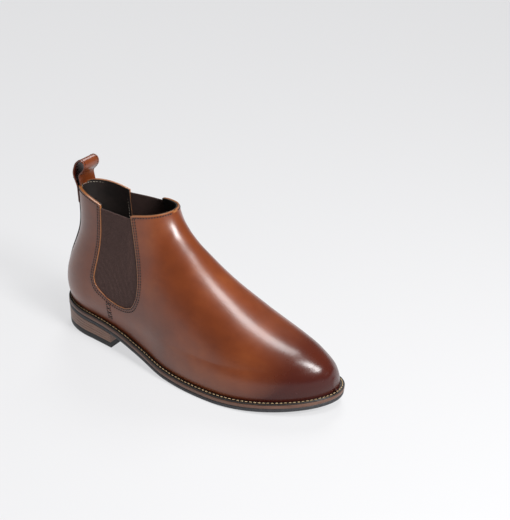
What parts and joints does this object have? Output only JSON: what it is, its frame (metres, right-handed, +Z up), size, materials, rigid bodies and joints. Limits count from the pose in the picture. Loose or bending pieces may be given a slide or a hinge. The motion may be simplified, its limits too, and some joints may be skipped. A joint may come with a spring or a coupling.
{
  "type": "chelsea boot",
  "caption": "Ankle boot for the right foot with elastic side gores, a folding pull tab, a stitched welt and a low stacked heel.",
  "frame": {"origin": "middle of the boot's bounding box on the ground", "axes": "+X towards the toe, +Y towards the inner (medial) side, +Z up"},
  "size_m": [0.3123, 0.1071, 0.181],
  "materials": {
    "upper_leather": "smooth tan-brown calf, semi-gloss, burnished toe",
    "elastic": "dark brown ribbed elastic webbing",
    "stiffener": "thermoplastic impregnated fibre board",
    "lining": "matt near-black brown lining leather",
    "welt": "black welt with tan stitching",
    "midsole": "brown stained edge, satin",
    "outsole_rubber": "dark grey rubber, matt",
    "shank_steel": "plain spring steel",
    "cork": "granulated cork",
    "insole_board": "cellulose board",
    "sock_leather": "dark brown sock leather",
    "stacked_leather": "stained stacked leather, satin",
    "nail_steel": "plain steel",
    "nail_brass": "plain brass"
  },
  "bodies": {
    "root": {"vamp": "upper_leather", "quarter_lateral": "upper_leather", "quarter_medial": "upper_leather", "backstay": "upper_leather", "gore_lateral": "elastic", "gore_medial": "elastic", "toe_puff": "stiffener", "heel_counter": "stiffener", "vamp_lining": "lining", "quarter_lining": "lining", "pull_tab_outer_tail": "upper_leather", "pull_tab_inner_tail": "upper_leather", "welt": "welt", "midsole": "midsole", "outsole": "outsole_rubber", "shank": "shank_steel", "bottom_filler": "cork", "insole_board": "insole_board", "sock_liner": "sock_leather", "top_lift": "outsole_rubber", "heel_nails": "nail_steel", "top_lift_pins": "nail_brass", "heel_lift_1": "stacked_leather", "heel_lift_2": "stacked_leather", "heel_lift_3": "stacked_leather", "heel_lift_4": "stacked_leather"},
    "tab_loop": {"pull_tab": "upper_leather"}
  },
  "joints": [
    {"name": "pull_tab_fold", "type": "hinge", "parent": "root", "child": "tab_loop", "pos_m": [-0.14238, 0.0031, 0.1535], "axis": [0, 1, 0], "range_deg": [-35, 50], "stiffness_Nm_per_rad": 0.02}
  ]
}
